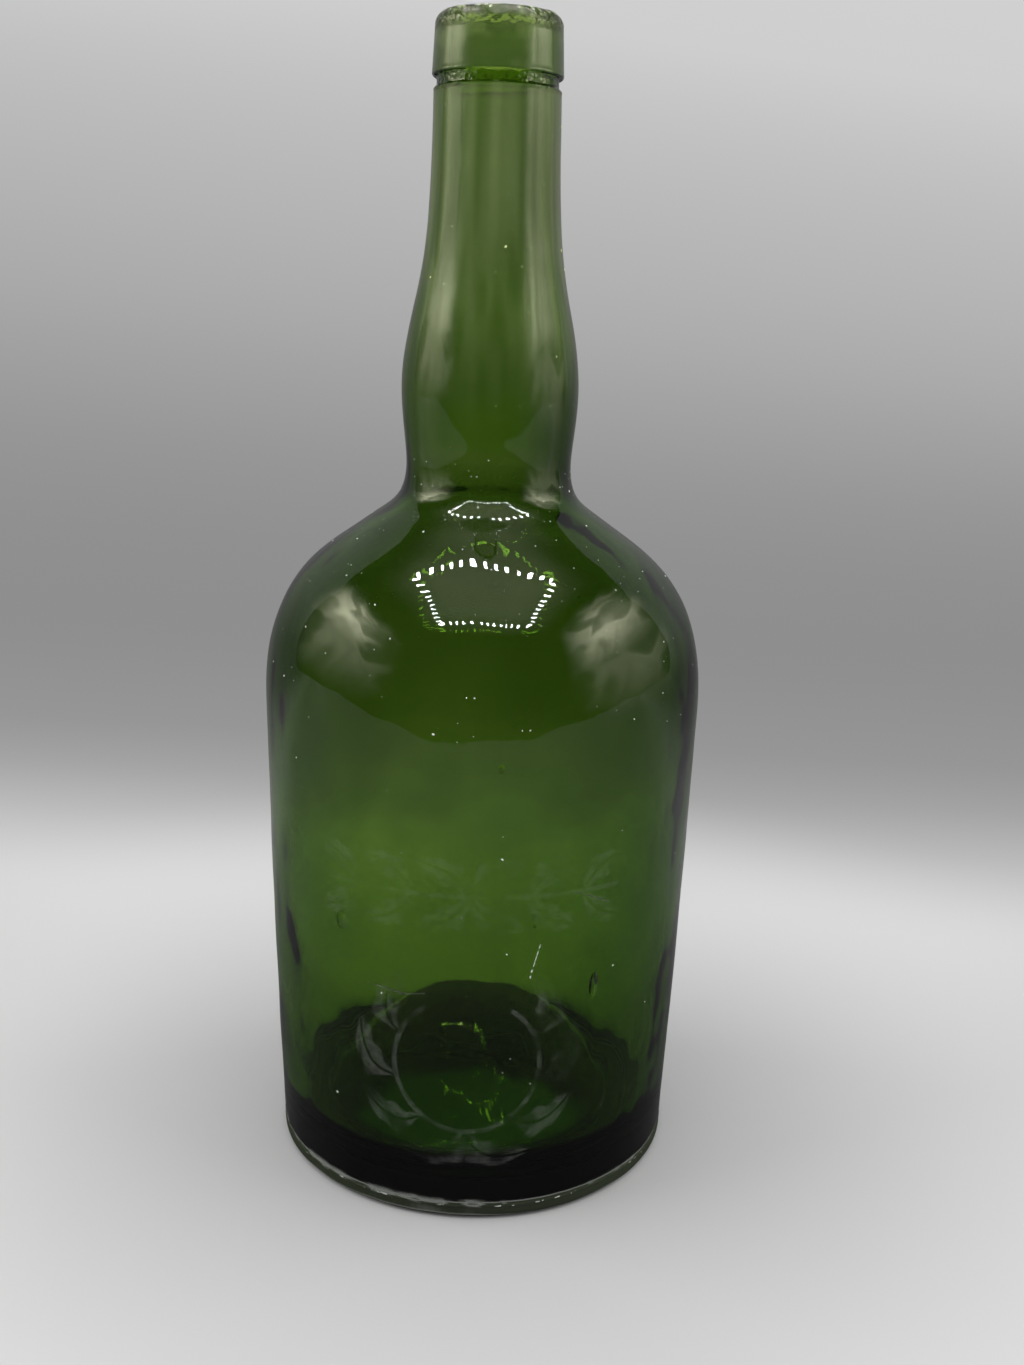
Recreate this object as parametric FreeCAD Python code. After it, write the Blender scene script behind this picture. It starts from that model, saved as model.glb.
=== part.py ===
import FreeCAD, Part
import math
import os

# Empty mould-blown liqueur bottle of thick green glass, one piece, open at the mouth.
# Millimetres, +Z up. The origin is the centre of the ring that the bottle stands on.

# Heights
height = 250.0           # standing ring to the top of the lip
side_height = 103.8      # standing ring to the widest place, where the shoulder begins
shoulder_rise = 53.6     # widest place to the pinch at the foot of the neck
bulb_rise = 17.2         # pinch to the fullest place of the swollen neck
collar_height = 12.7     # tooled collar, lower edge to the top of the lip
band_height = 2.2        # plain band pressed in by the finishing tool, under the collar

# Outside radii
body_radius = 49.16      # widest place
heel_inset = 3.2         # how much narrower the side is at the heel
side_bow = 0.35          # how far the side stands out of a straight taper
pinch_radius = 18.36     # narrow place between shoulder and swollen neck
bulb_radius = 19.52      # fullest place of the swollen neck
band_depth = 0.3         # how deep the tool pressed the band into the neck

# Inside
bore_radius = 9.9        # cork bore at the mouth
side_wall = 3.9          # glass of the side
pinch_wall = 3.6         # glass at the pinch
bulb_wall = 3.3          # glass of the swollen neck
neck_wall = 3.74         # glass of the slim neck, round the bore
collar_wall = 4.15       # glass of the collar at its lower edge
shoulder_sag = 2.2       # how much lower the shoulder runs inside, for a full wall on the slope

# Collar
collar_taper = 0.5       # collar is this much slimmer where the lip begins to round
collar_edge_round = 0.7  # lower edge of the collar
lip_round = 2.6          # outer edge of the lip
mouth_round = 0.9        # inner edge of the lip

# Foot
heel_round = 1.5         # outer edge of the standing ring
ring_width = 5.4         # flat that touches the table
rim_round = 2.0          # inner edge of the standing ring
seam_height = 3.1        # ridge left where the mould's base plate met its walls
seam_width = 0.9
seam_depth = 0.3
push_up = 24.5           # hollow under the base, at the middle
push_up_lean = 50.0      # slope of the hollow at the standing ring, in degrees
floor_thickness = 10.5   # glass under the lowest place of the inside
valley_round = 5.0       # corner between the inner wall and the floor
mound_lean = 49.0        # slope of the mound at the valley, in degrees
mound_glass = 7.2        # glass above the push-up, at the middle

# Free form of shoulder, swollen neck and slim neck, each point as its share of the stretch's rise
# and the share of the change in radius that is still to come
shoulder_form = ((0.189, 0.991), (0.354, 0.937), (0.589, 0.714), (0.764, 0.337), (0.825, 0.185),
                 (0.887, 0.059))
bulb_form = ((0.2, 0.93), (0.442, 0.552), (0.706, 0.172))
neck_form = ((0.167, 0.837), (0.356, 0.427), (0.502, 0.192), (0.669, 0.063))

# Places that follow from the sizes
pinch_z = side_height + shoulder_rise
bulb_z = pinch_z + bulb_rise
collar_z = height - collar_height
band_z = collar_z - band_height
heel_radius = body_radius - heel_inset
neck_radius = bore_radius + neck_wall
collar_radius = bore_radius + collar_wall
seam_half = seam_width / 2


def at(radius, z):
    """Point of the half section, which lies in the plane y = 0."""
    return FreeCAD.Vector(radius, 0, z)


def line(start, end):
    return Part.LineSegment(start, end).toShape()


def arc(start, middle, end):
    return Part.Arc(start, middle, end).toShape()


def round_corner(centre, radius, start_angle, end_angle):
    """Arc about centre, with angles in degrees from +X towards +Z."""
    points = []
    for angle in (start_angle, (start_angle + end_angle) / 2, end_angle):
        turn = math.radians(angle)
        points.append(centre + FreeCAD.Vector(math.cos(turn), 0, math.sin(turn)) * radius)
    return arc(*points)


def dome(start, lean, top_z):
    """Parabola that leaves start at the slope lean and reaches the axis level at top_z."""
    level_reach = (top_z - start.z) / math.tan(math.radians(lean))
    curve = Part.BezierCurve()
    curve.setPoles([start, at(start.x - level_reach, top_z), at(0, top_z)])
    return curve.toShape()


def between(low, high, form):
    """Points on the way from low to high, placed by the shares in form."""
    points = []
    for rise, left in form:
        points.append(at(high.x + (low.x - high.x) * left, low.z + (high.z - low.z) * rise))
    return points


def bow_slope():
    """Outward slope that the bowed side has at its widest place."""
    rise = side_height - seam_height - seam_half
    return (heel_inset - 4 * side_bow) / rise


def shoulder_and_neck(widest, pinch, bulb, slim):
    """One smooth curve up from the widest place over pinch and bulb to the slim neck."""
    points = [widest]
    points += between(widest, pinch, shoulder_form)
    points.append(pinch)
    points += between(pinch, bulb, bulb_form)
    points.append(bulb)
    points += between(bulb, slim, neck_form)
    points.append(slim)
    curve = Part.BSplineCurve()
    curve.interpolate(Points=points, InitialTangent=FreeCAD.Vector(bow_slope(), 0, 1),
                      FinalTangent=FreeCAD.Vector(0, 0, 1))
    return curve.toShape()


def bowed_side(low, high):
    """Side of the body, a shallow arc that stands side_bow out of the straight taper."""
    across = (high - low).normalize()
    outward = FreeCAD.Vector(across.z, 0, -across.x)
    return arc(low, (low + high) / 2 + outward * side_bow, high)


def foot_outline():
    """From the axis under the push-up, over the standing ring, up past the base-plate ridge."""
    ring_outer = heel_radius - heel_round
    ring_inner = ring_outer - ring_width
    rim = round_corner(at(ring_inner, rim_round), rim_round, 270 - push_up_lean, 270)
    hollow_edge = rim.Vertexes[0].Point
    hollow = dome(hollow_edge, push_up_lean, push_up)
    heel = round_corner(at(ring_outer, heel_round), heel_round, 270, 360)
    ridge_low = at(heel_radius, seam_height - seam_half)
    ridge_high = at(heel_radius, seam_height + seam_half)
    ridge = arc(ridge_low, at(heel_radius + seam_depth, seam_height), ridge_high)
    return [
        hollow,
        rim,
        line(at(ring_inner, 0), at(ring_outer, 0)),
        heel,
        line(at(heel_radius, heel_round), ridge_low),
        ridge,
    ]


def finish_outline():
    """From the slim neck through the pressed band, round the collar and lip, into the bore."""
    band_radius = neck_radius - band_depth
    under_radius = collar_radius - collar_edge_round
    lip_wall = collar_wall - collar_taper
    outer_round = min(lip_round, 0.7 * lip_wall)
    inner_round = min(mouth_round, 0.25 * lip_wall)
    lip_radius = collar_radius - collar_taper
    return [
        line(at(neck_radius, band_z), at(band_radius, band_z + band_depth)),
        line(at(band_radius, band_z + band_depth), at(band_radius, collar_z)),
        line(at(band_radius, collar_z), at(under_radius, collar_z)),
        round_corner(at(under_radius, collar_z + collar_edge_round), collar_edge_round, 270, 360),
        line(at(collar_radius, collar_z + collar_edge_round), at(lip_radius, height - outer_round)),
        round_corner(at(lip_radius - outer_round, height - outer_round), outer_round, 0, 90),
        line(at(lip_radius - outer_round, height), at(bore_radius + inner_round, height)),
        round_corner(at(bore_radius + inner_round, height - inner_round), inner_round, 90, 180),
        line(at(bore_radius, height - inner_round), at(bore_radius, band_z)),
    ]


def inside_outline():
    """Down from the bore over neck and shoulder to the valley, then over the mound to the axis."""
    inner_body = body_radius - side_wall
    inner_heel = heel_radius - side_wall
    widest = at(inner_body, side_height - shoulder_sag)
    pinch = at(pinch_radius - pinch_wall, pinch_z - shoulder_sag)
    bulb = at(bulb_radius - bulb_wall, bulb_z)
    neck = shoulder_and_neck(widest, pinch, bulb, at(bore_radius, band_z))
    valley_centre = at(inner_heel - valley_round, floor_thickness + valley_round)
    side = bowed_side(at(inner_heel, valley_centre.z), widest)
    valley = round_corner(valley_centre, valley_round, 270 - mound_lean, 360)
    mound = dome(valley.Vertexes[0].Point, mound_lean, push_up + mound_glass)
    return [neck, side, valley, mound]


def bottle():
    widest = at(body_radius, side_height)
    side = bowed_side(at(heel_radius, seam_height + seam_half), widest)
    neck = shoulder_and_neck(widest, at(pinch_radius, pinch_z), at(bulb_radius, bulb_z),
                             at(neck_radius, band_z))
    edges = foot_outline() + [side, neck] + finish_outline() + inside_outline()
    edges.append(line(at(0, push_up + mound_glass), at(0, push_up)))
    section = Part.Face(Part.Wire(Part.__sortEdges__(edges)))
    return section.revolve(FreeCAD.Vector(0, 0, 0), FreeCAD.Vector(0, 0, 1), 360)


os.makedirs("parts", exist_ok=True)
shape = bottle()
if shape.ShapeType != "Solid":
    shape = shape.Solids[0]
shape.exportStep("parts/bottle.step")
print("bottle", shape.isValid(), "volume", round(shape.Volume), "mm3", shape.BoundBox)
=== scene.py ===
import bpy
import math
import random
from mathutils import Matrix, Vector


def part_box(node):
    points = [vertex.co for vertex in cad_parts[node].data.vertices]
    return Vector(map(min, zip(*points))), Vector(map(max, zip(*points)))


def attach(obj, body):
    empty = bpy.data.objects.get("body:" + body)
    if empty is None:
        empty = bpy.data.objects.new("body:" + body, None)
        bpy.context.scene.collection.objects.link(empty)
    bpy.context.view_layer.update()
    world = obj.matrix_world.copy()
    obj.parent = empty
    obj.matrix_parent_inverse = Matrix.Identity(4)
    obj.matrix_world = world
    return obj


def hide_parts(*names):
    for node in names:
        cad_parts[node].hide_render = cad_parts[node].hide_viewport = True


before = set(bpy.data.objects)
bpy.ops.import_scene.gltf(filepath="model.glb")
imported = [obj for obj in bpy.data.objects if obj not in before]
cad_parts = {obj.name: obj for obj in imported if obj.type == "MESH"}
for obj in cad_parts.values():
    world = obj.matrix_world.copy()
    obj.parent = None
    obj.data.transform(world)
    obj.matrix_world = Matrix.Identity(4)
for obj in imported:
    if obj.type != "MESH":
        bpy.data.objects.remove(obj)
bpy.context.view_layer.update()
foot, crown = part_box("bottle")  # lowest and highest corner of the glass, in metres

studio = bpy.context.scene
studio.view_settings.view_transform = "Standard"


def clearSelection():
    if bpy.context.mode != "OBJECT":
        bpy.ops.object.mode_set(mode="OBJECT")
    bpy.ops.object.select_all(action="DESELECT")


def settle(piece, name):
    # the place of a finished piece is in its mesh, and the object stands at the origin
    clearSelection()
    piece.select_set(True)
    bpy.context.view_layer.objects.active = piece
    bpy.ops.object.transform_apply(location=True, rotation=True, scale=True)
    piece.name = name
    piece.data.name = name
    return piece


def link(tree, source, target):
    tree.links.new(source, target)


def newMaterial(name):
    material = bpy.data.materials.new(name)
    material.use_nodes = True
    tree = material.node_tree
    tree.nodes.clear()
    return material, tree, tree.nodes.new("ShaderNodeOutputMaterial")


def mathNode(tree, operation, first, second=None, third=None, clamp=False):
    node = tree.nodes.new("ShaderNodeMath")
    node.operation = operation
    node.use_clamp = clamp
    for place, value in enumerate((first, second, third)):
        if value is None:
            continue
        if isinstance(value, (int, float)):
            node.inputs[place].default_value = value
        else:
            link(tree, value, node.inputs[place])
    return node.outputs[0]


def greyRamp(tree, value, greys):
    # even ramp between given places, which may lie anywhere
    low, high = greys[0][0], greys[-1][0]
    share = mathNode(tree, "DIVIDE", mathNode(tree, "SUBTRACT", value, low), high - low, clamp=True)
    ramp = tree.nodes.new("ShaderNodeValToRGB")
    ramp.color_ramp.interpolation = "B_SPLINE"
    link(tree, share, ramp.inputs[0])
    stops = ramp.color_ramp.elements
    stops.remove(stops[1])
    for number, (place, grey) in enumerate(greys):
        stop = stops[0] if number == 0 else stops.new((place - low) / (high - low))
        stop.color = (grey, grey, grey, 1)
    return ramp.outputs[0]


camera = {
    "place": (0.0, -0.319963, 0.191272),
    "lens": 38.06,
    "down": 14.469,   # degrees below the horizon
    "turn": 1.188,    # degrees towards +X
    "roll": 1.732,
}


def placeCamera():
    data = bpy.data.cameras.new("camera")
    data.lens = camera["lens"]
    data.sensor_width = 36.0
    data.clip_start = 0.01
    data.clip_end = 20.0
    lens = bpy.data.objects.new("camera", data)
    studio.collection.objects.link(lens)
    turned = Matrix.Rotation(math.radians(-camera["turn"]), 4, "Z")
    tipped = Matrix.Rotation(math.radians(90.0 - camera["down"]), 4, "X")
    rolled = Matrix.Rotation(math.radians(camera["roll"]), 4, "Z")
    lens.matrix_world = Matrix.Translation(camera["place"]) @ turned @ tipped @ rolled
    studio.camera = lens
    print("camera placed")


glassSizes = {
    "sideHeight": 0.1038,      # where the shoulder begins
    "shoulderRise": 0.0536,    # from there to the pinch under the neck
    "bulbRise": 0.0172,        # pinch to the fullest place of the swollen neck
    "collarHeight": 0.0127,
    "bandHeight": 0.0022,
    "heelInset": 0.0032,
    "sideBow": 0.00035,
    "pinchRadius": 0.01836,
    "bulbRadius": 0.01952,
    "bandDepth": 0.0006,
    "boreRadius": 0.0099,
    "sideWall": 0.0039,
    "pinchWall": 0.0036,
    "bulbWall": 0.0037,
    "neckWall": 0.00374,
    "collarWall": 0.00415,
    "shoulderSag": 0.0022,
    "collarTaper": 0.0005,
    "collarEdgeRound": 0.0007,
    "lipRound": 0.0026,
    "mouthRound": 0.0009,
    "heelRound": 0.0015,
    "ringWidth": 0.0054,
    "rimRound": 0.0020,
    "seamHeight": 0.0031,
    "seamWidth": 0.0009,
    "seamDepth": 0.00018,
    "pushUp": 0.0245,
    "pushUpLean": 50.0,
    "floorThickness": 0.0105,
    "valleyRound": 0.0050,
    "moundLean": 49.0,
    "moundGlass": 0.0092,
    "skin": 0.00012,           # kept free outside for the waves of the blown glass
    "turns": 192,              # faces round the axis
    # share of the rise, and share of the change in radius still to come
    "shoulderForm": ((0.189, 0.991), (0.354, 0.937), (0.589, 0.714), (0.764, 0.337), (0.825, 0.185),
                     (0.887, 0.059)),
    "bulbForm": ((0.2, 0.93), (0.442, 0.552), (0.706, 0.172)),
    "neckForm": ((0.167, 0.837), (0.356, 0.427), (0.502, 0.192), (0.669, 0.063)),
}


def between(low, high, form):
    return [Vector((high.x + (low.x - high.x) * left, low.y + (high.y - low.y) * rise))
            for rise, left in form]


def straightRun(start, end, count):
    return [start.lerp(end, (i + 1) / count) for i in range(count)]


def roundRun(centre, radius, fromAngle, toAngle, count):
    run = []
    for i in range(count):
        turn = math.radians(fromAngle + (toAngle - fromAngle) * (i + 1) / count)
        run.append(centre + Vector((math.cos(turn), math.sin(turn))) * radius)
    return run


def domeRun(start, lean, top, count):
    # parabola from start, at the slope lean, to level at the axis
    reach = (top - start.y) / math.tan(math.radians(lean))
    knee = Vector((start.x - reach, top))
    end = Vector((0.0, top))
    shares = [(i + 1) / count for i in range(count)]
    return [start.lerp(knee, t).lerp(knee.lerp(end, t), t) for t in shares]


def bowRun(low, high, bow, count):
    # shallow arc that stands bow out of the straight line at its middle
    along = high - low
    outward = Vector((along.y, -along.x)).normalized()
    shares = [(i + 1) / count for i in range(count)]
    return [low.lerp(high, t) + outward * bow * 4.0 * t * (1.0 - t) for t in shares]


def smoothRun(points, startWay, endWay, spacing):
    # one even curve through all points, with bending that never jumps
    spans = [(b - a).length for a, b in zip(points, points[1:])]
    last = len(points) - 1
    below = [0.0] * (last + 1)
    middle = [1.0] * (last + 1)
    above = [0.0] * (last + 1)
    ways = [startWay.normalized()] + [None] * (last - 1) + [endWay.normalized()]
    for i in range(1, last):
        h0, h1 = spans[i - 1], spans[i]
        below[i], middle[i], above[i] = h1, 2.0 * (h0 + h1), h0
        ways[i] = ((points[i] - points[i - 1]) * (h1 / h0) + (points[i + 1] - points[i]) * (h0 / h1)) * 3.0
    for i in range(1, last + 1):
        share = below[i] / middle[i - 1]
        middle[i] -= share * above[i - 1]
        ways[i] = ways[i] - ways[i - 1] * share
    ways[last] = ways[last] / middle[last]
    for i in range(last - 1, -1, -1):
        ways[i] = (ways[i] - ways[i + 1] * above[i]) / middle[i]
    run = []
    for i in range(last):
        h = spans[i]
        count = max(2, round(h / spacing))
        for k in range(count):
            t = (k + 1) / count
            run.append(points[i] * ((1 + 2 * t) * (1 - t) ** 2) + ways[i] * (h * t * (1 - t) ** 2)
                       + points[i + 1] * (t * t * (3 - 2 * t)) + ways[i + 1] * (h * t * t * (t - 1)))
    return run


def glassOutline():
    # half section from the axis under the push-up, round the outside, over the lip and down the inside
    s = glassSizes
    tall = crown.z
    wide = crown.x - s["skin"]
    heel = wide - s["heelInset"]
    bandLow = tall - s["collarHeight"] - s["bandHeight"]
    collarLow = tall - s["collarHeight"]
    neck = s["boreRadius"] + s["neckWall"] - s["skin"]
    collar = s["boreRadius"] + s["collarWall"] - s["skin"]
    lip = collar - s["collarTaper"]
    band = neck - s["bandDepth"]
    pinchHeight = s["sideHeight"] + s["shoulderRise"]
    bulbHeight = pinchHeight + s["bulbRise"]
    seamHalf = s["seamWidth"] / 2
    ringOut = heel - s["heelRound"]
    ringIn = ringOut - s["ringWidth"]
    bowSlope = (s["heelInset"] - 4 * s["sideBow"]) / (s["sideHeight"] - s["seamHeight"] - seamHalf)
    runs = []  # the last value of a run is its number of edges, or their length in a smooth one

    rim = roundRun(Vector((ringIn, s["rimRound"])), s["rimRound"], 270 - s["pushUpLean"], 270, 5)
    rimTurn = math.radians(270 - s["pushUpLean"])
    rimStart = Vector((ringIn, s["rimRound"])) + Vector((math.cos(rimTurn), math.sin(rimTurn))) * s["rimRound"]
    hollow = domeRun(rimStart, s["pushUpLean"], s["pushUp"], 26)
    runs.append(("hollow", list(reversed(hollow)) + [rimStart]))
    runs.append(("ring", rim + straightRun(Vector((ringIn, 0)), Vector((ringOut, 0)), 5)))
    runs.append(("heel", roundRun(Vector((ringOut, s["heelRound"])), s["heelRound"], 270, 360, 6)))
    ridgeLow = Vector((heel, s["seamHeight"] - seamHalf))
    runs.append(("heel", straightRun(Vector((heel, s["heelRound"])), ridgeLow, 2)))
    ridge = []
    for i in range(6):
        t = (i + 1) / 6
        bulge = s["seamDepth"] * 4 * t * (1 - t)
        ridge.append(Vector((heel + bulge, s["seamHeight"] + seamHalf * (2 * t - 1))))
    runs.append(("ridge", ridge))
    widest = Vector((wide, s["sideHeight"]))
    runs.append(("side", bowRun(Vector((heel, s["seamHeight"] + seamHalf)), widest, s["sideBow"], 62)))
    pinch = Vector((s["pinchRadius"] - s["skin"], pinchHeight))
    bulb = Vector((s["bulbRadius"] - s["skin"], bulbHeight))
    slim = Vector((neck, bandLow))
    upward = [widest] + between(widest, pinch, s["shoulderForm"]) + [pinch]
    upward += between(pinch, bulb, s["bulbForm"]) + [bulb]
    upward += between(bulb, slim, s["neckForm"]) + [slim]
    runs.append(("side", smoothRun(upward, Vector((bowSlope, 1)), Vector((0, 1)), 0.00135)))
    finish = [Vector((band, bandLow + s["bandDepth"]))]
    finish += straightRun(finish[0], Vector((band, collarLow)), 6)
    under = Vector((collar - s["collarEdgeRound"], collarLow))
    finish += straightRun(finish[-1], under, 2)
    runs.append(("band", finish))
    finish = roundRun(under + Vector((0, s["collarEdgeRound"])), s["collarEdgeRound"], 270, 360, 4)
    finish += straightRun(finish[-1], Vector((lip, tall - s["lipRound"])), 10)
    runs.append(("collar", finish))
    lipCentre = Vector((lip - s["lipRound"], tall - s["lipRound"]))
    mouthCentre = Vector((s["boreRadius"] + s["mouthRound"], tall - s["mouthRound"]))
    finish = roundRun(lipCentre, s["lipRound"], 0, 90, 10)
    finish += straightRun(finish[-1], Vector((mouthCentre.x, tall)), 2)
    finish += roundRun(mouthCentre, s["mouthRound"], 90, 180, 4)
    runs.append(("lip", finish))
    runs.append(("bore", straightRun(finish[-1], Vector((s["boreRadius"], bandLow)), 12)))

    innerBody = Vector((wide + s["skin"] - s["sideWall"], s["sideHeight"] - s["shoulderSag"]))
    innerPinch = Vector((s["pinchRadius"] - s["pinchWall"], pinchHeight - s["shoulderSag"]))
    innerBulb = Vector((s["bulbRadius"] - s["bulbWall"], bulbHeight))
    innerSlim = Vector((s["boreRadius"], bandLow))
    inward = [innerBody] + between(innerBody, innerPinch, s["shoulderForm"]) + [innerPinch]
    inward += between(innerPinch, innerBulb, s["bulbForm"]) + [innerBulb]
    inward += between(innerBulb, innerSlim, s["neckForm"]) + [innerSlim]
    downward = smoothRun(list(reversed(inward)), Vector((0, -1)), Vector((-bowSlope, -1)), 0.00145)
    runs.append(("inside", downward))
    innerHeel = heel + s["skin"] - s["sideWall"]
    valleyCentre = Vector((innerHeel - s["valleyRound"], s["floorThickness"] + s["valleyRound"]))
    lowSide = Vector((innerHeel, valleyCentre.y))
    side = [lowSide] + bowRun(lowSide, innerBody, s["sideBow"], 46)
    runs.append(("inside", list(reversed(side))[1:]))
    runs.append(("inside", roundRun(valleyCentre, s["valleyRound"], 0, -90 - s["moundLean"], 10)))
    runs.append(("inside", domeRun(runs[-1][1][-1], s["moundLean"], s["pushUp"] + s["moundGlass"], 26)))
    return runs


def drawOutline(runs):
    # one vertex, extruded from place to place along the half section
    clearSelection()
    bpy.ops.mesh.primitive_plane_add(size=0.001, location=(0, 0, 0))
    piece = bpy.context.object
    bpy.ops.object.mode_set(mode="EDIT")
    bpy.ops.mesh.merge(type="CENTER")
    places = [place for name, run in runs for place in run]
    here = places[0]
    bpy.ops.transform.translate(value=(here.x, 0, here.y))
    for place in places[1:]:
        step = place - here
        bpy.ops.mesh.extrude_region_move(TRANSFORM_OT_translate={"value": (step.x, 0, step.y)})
        here = place
    bpy.ops.object.mode_set(mode="OBJECT")
    index = 0
    for name, run in runs:
        group = piece.vertex_groups.get(name) or piece.vertex_groups.new(name=name)
        group.add(list(range(index, index + len(run))), 1.0, "REPLACE")
        index += len(run)
    return piece


def blowGlass():
    piece = drawOutline(glassOutline())
    bpy.ops.object.mode_set(mode="EDIT")
    bpy.ops.mesh.select_all(action="SELECT")
    bpy.ops.mesh.spin(steps=glassSizes["turns"], angle=math.tau, center=(0, 0, 0), axis=(0, 0, 1))
    bpy.ops.mesh.select_all(action="SELECT")
    bpy.ops.mesh.remove_doubles(threshold=0.000004)
    bpy.ops.mesh.normals_make_consistent(inside=False)
    bpy.ops.object.mode_set(mode="OBJECT")
    bpy.ops.object.shade_smooth()
    bpy.ops.object.mode_set(mode="EDIT")
    bpy.ops.mesh.select_all(action="DESELECT")
    bpy.ops.mesh.edges_select_sharp(sharpness=math.radians(38))
    bpy.ops.mesh.mark_sharp()
    bpy.ops.object.mode_set(mode="OBJECT")
    print("glass turned:", len(piece.data.vertices), "vertices")
    return piece


glassWaves = {
    "insideWave": 0.0009,      # how far the inner wall wanders
    "insideGrain": 0.026,
    "streak": 0.00030,         # long upright ripples inside
    "streakGrain": 0.007,
    "streakPlace": (0.013, 0.021, 0.05),
    "streakStretch": 7,        # times as long as wide
    "outsideWave": 0.00036,
    "outsideGrain": 0.026,
    "outsideRipple": 0.00012,
    "rippleGrain": 0.0100,
    "hollowWave": 0.0006,
    "hollowGrain": 0.012,
    "thinSide": 0.0003,        # the cavity stands off the axis by this much
    "boreFoot": 0.236,         # nothing above this height is moved off the axis
    "boreFade": 0.018,         # and what lies this much lower is moved in full
    "moundShift": 0.0040,      # the mound over the push-up leans to one side
    "moundReach": 0.024,
    "moundUnder": 0.05,        # the mound lies below this height
    "ridgeWear": 0.0003,
    "ridgeGrain": 0.0025,
    "lipWear": 0.0006,
    "lipGrain": 0.0045,
    "bandWear": 0.0008,
    "bandGrain": 0.0035,
    "specks": 380,             # grains of dust on the outside
    "dustHeights": (0.012, 0.236),
    "dustyHeights": (0.108, 0.162),  # shoulder, where most of it lies
    "dustElsewhere": 0.2,      # share of the dust that other places keep
    "grainSize": 0.00008,
    "grainMore": 0.00022,      # a few grains are larger by up to this much
    "grainFlat": 0.35,
}


def cloudTexture(name, grain, depth, contrast=1.0):
    clouds = bpy.data.textures.new(name, "CLOUDS")
    clouds.noise_scale = grain
    clouds.noise_depth = depth
    clouds.contrast = contrast
    return clouds


def pushOut(piece, name, group, texture, strength, middle=0.5, direction="NORMAL", stretchedBy=None):
    wave = piece.modifiers.new(name, "DISPLACE")
    wave.texture = texture
    wave.vertex_group = group
    wave.strength = strength
    wave.mid_level = middle
    wave.direction = direction
    wave.texture_coords = "OBJECT" if stretchedBy else "LOCAL"
    if stretchedBy:
        wave.texture_coords_object = stretchedBy
    clearSelection()
    bpy.context.view_layer.objects.active = piece
    piece.select_set(True)
    bpy.ops.object.modifier_apply(modifier=name)


def joinGroups(piece, name, sources):
    # one group over all the outside, so that a wave runs on without a step
    indices = [piece.vertex_groups[source].index for source in sources]
    joined = piece.vertex_groups.new(name=name)
    members = [v.index for v in piece.data.vertices if any(g.group in indices for g in v.groups)]
    joined.add(members, 1.0, "REPLACE")


def shiftInside(piece, name, weight, shift):
    inside = piece.vertex_groups["inside"].index
    moved = piece.vertex_groups.new(name=name)
    for v in piece.data.vertices:
        if any(g.group == inside for g in v.groups):
            moved.add([v.index], min(1.0, max(0.0, weight(v.co))), "REPLACE")
    clearSelection()
    bpy.context.view_layer.objects.active = piece
    piece.select_set(True)
    move = piece.modifiers.new(name, "DISPLACE")
    move.vertex_group = name
    move.direction = "X"
    move.mid_level = 0.0
    move.strength = shift
    bpy.ops.object.modifier_apply(modifier=name)


def dustGrains(piece):
    # flat grains that cling to the outside, most of them on the shoulder
    w = glassWaves
    chance = random.Random(7)
    around = piece.data.vertices
    outer = piece.vertex_groups["outer"].index
    low, high = w["dustHeights"]
    dustyLow, dustyHigh = w["dustyHeights"]
    places = [v.index for v in around if low < v.co.z < high and any(g.group == outer for g in v.groups)]
    clearSelection()
    bpy.ops.mesh.primitive_ico_sphere_add(subdivisions=1, radius=1.0, location=(0, 0, 0))
    first = bpy.context.object
    grains = [first]
    for _ in range(w["specks"]):
        grain = bpy.data.objects.new("grain", first.data.copy())
        studio.collection.objects.link(grain)
        grains.append(grain)
    for grain in grains:
        while True:
            v = around[chance.choice(places)]
            fit = 1.0 if dustyLow < v.co.z < dustyHigh else w["dustElsewhere"]
            if chance.random() < fit:
                break
        size = w["grainSize"] + w["grainMore"] * chance.random() ** 4
        grain.scale = (size * chance.uniform(0.7, 1.5), size * chance.uniform(0.6, 1.0), size * w["grainFlat"])
        grain.rotation_mode = "QUATERNION"
        spin = Matrix.Rotation(chance.uniform(0, 6.28), 3, "Z").to_quaternion()
        grain.rotation_quaternion = v.normal.to_track_quat("Z", "Y") @ spin
        grain.location = v.co
    clearSelection()
    for grain in grains:
        grain.select_set(True)
    bpy.context.view_layer.objects.active = first
    bpy.ops.object.join()
    settle(first, "grains")
    first.data.attributes.new("dusty", "FLOAT", "POINT")
    for spot in first.data.attributes["dusty"].data:
        spot.value = 1.0
    clearSelection()
    first.select_set(True)
    piece.select_set(True)
    bpy.context.view_layer.objects.active = piece
    bpy.ops.object.join()
    print("dust laid:", len(grains), "grains")


def cavityWeight(place):
    # nothing in the bore, full below the slim neck
    return (glassWaves["boreFoot"] - place.z) / glassWaves["boreFade"]


def moundWeight(place):
    # full on the axis, nothing on the walls
    if place.z > glassWaves["moundUnder"]:
        return 0.0
    return 1.0 - math.hypot(place.x, place.y) / glassWaves["moundReach"]


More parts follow.
